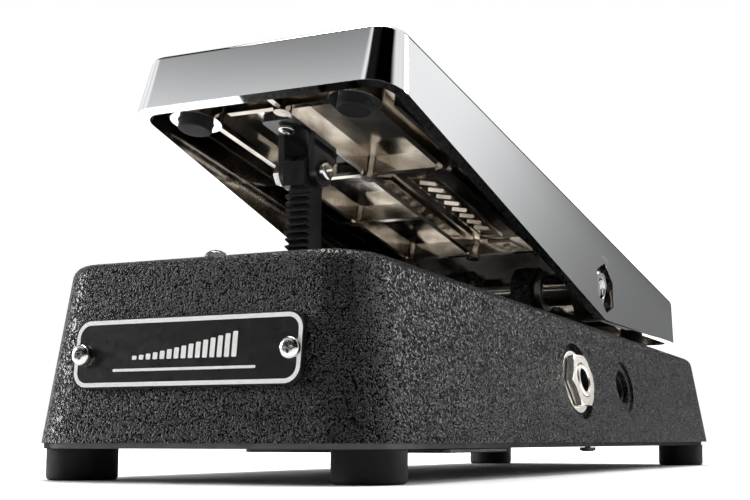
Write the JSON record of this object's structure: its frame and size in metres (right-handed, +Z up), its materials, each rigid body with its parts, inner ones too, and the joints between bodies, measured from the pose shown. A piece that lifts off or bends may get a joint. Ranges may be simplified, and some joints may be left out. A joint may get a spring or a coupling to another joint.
{
  "type": "volume pedal",
  "caption": "Rocker volume pedal: black crinkle-coated housing on rubber feet, and a plated treadle driving a rack and pinion.",
  "frame": {"origin": "on the floor under the middle of the pedal's bounding box, in the plane of the feet's lower faces", "axes": "+Z up from the floor, +Y from the toe end to the heel end, +X to the player's right"},
  "size_m": [0.0972, 0.2552, 0.1048],
  "materials": {
    "crinkle_coat": "fine black crinkle powder coat",
    "chrome": "mirror plated",
    "steel": "bright plated",
    "dark_steel": "blackened, satin",
    "rubber": "matte",
    "black_plastic": "satin moulded",
    "plate_black": "satin enamel",
    "clear_plastic": "clear moulded",
    "brass": "turned",
    "board_green": "solder mask",
    "battery_case": "satin",
    "white_plastic": "moulded"
  },
  "bodies": {
    "base": {"housing": "crinkle_coat", "nameplate": "plate_black", "nameplate_screw_left": "steel", "nameplate_screw_right": "steel", "led_lens": "clear_plastic", "led_body": "white_plastic", "base_plate": "dark_steel", "base_plate_screw_left": "steel", "base_plate_screw_right": "steel", "battery_door": "black_plastic", "battery": "battery_case", "battery_snap": "black_plastic", "foot_toe_left": "rubber", "foot_toe_right": "rubber", "foot_heel_left": "rubber", "foot_heel_right": "rubber", "foot_screw_toe_left": "steel", "foot_screw_toe_right": "steel", "foot_screw_heel_left": "steel", "foot_screw_heel_right": "steel", "input_jack": "black_plastic", "input_jack_washer": "steel", "input_jack_nut": "chrome", "output_jack": "black_plastic", "output_jack_washer": "steel", "output_jack_nut": "chrome", "power_jack": "black_plastic", "circuit_board": "board_green", "board_screw_left": "steel", "board_screw_right": "steel", "amplifier_chip": "black_plastic", "filter_capacitor": "battery_case", "potentiometer": "black_plastic", "potentiometer_nut": "steel", "potentiometer_bracket": "dark_steel", "rack_guide": "white_plastic", "potentiometer_screw": "steel", "rack_guide_screw": "steel", "pivot_bush_left": "brass", "pivot_bush_right": "brass"},
    "treadle": {"treadle": "chrome", "tread_mat": "rubber", "bumper_toe_left": "rubber", "bumper_toe_right": "rubber", "bumper_heel_left": "rubber", "bumper_heel_right": "rubber", "rack_bracket": "black_plastic", "rack_bracket_screw_toe": "steel", "rack_bracket_screw_heel": "steel", "rack_pin": "steel", "rack_pin_nut": "steel", "pivot_shaft": "steel", "pivot_nut_left": "chrome", "pivot_nut_right": "chrome", "pivot_washer_left": "steel", "pivot_washer_right": "steel"},
    "rack": {"rack": "black_plastic"},
    "pinion": {"pinion": "white_plastic", "potentiometer_shaft": "steel"}
  },
  "joints": [
    {"name": "treadle_pivot", "type": "hinge", "parent": "base", "child": "treadle", "pos_m": [0, 0.0345, 0.0576], "axis": [1, 0, 0], "range_deg": [0, 15.5]},
    {"name": "rack_slide", "type": "slide", "parent": "base", "child": "rack", "axis": [0, 0, -1], "range_m": [0, 0.0283]},
    {"name": "pinion_spin", "type": "hinge", "parent": "base", "child": "pinion", "pos_m": [-0.008, -0.07736, 0.0386], "axis": [1, 0, 0], "range_deg": [-285, 0]}
  ],
  "couplings": [
    {"joint": "rack_slide", "follows": "treadle_pivot", "m_per_rad": 0.10416},
    {"joint": "pinion_spin", "follows": "treadle_pivot", "ratio": -18.274}
  ]
}
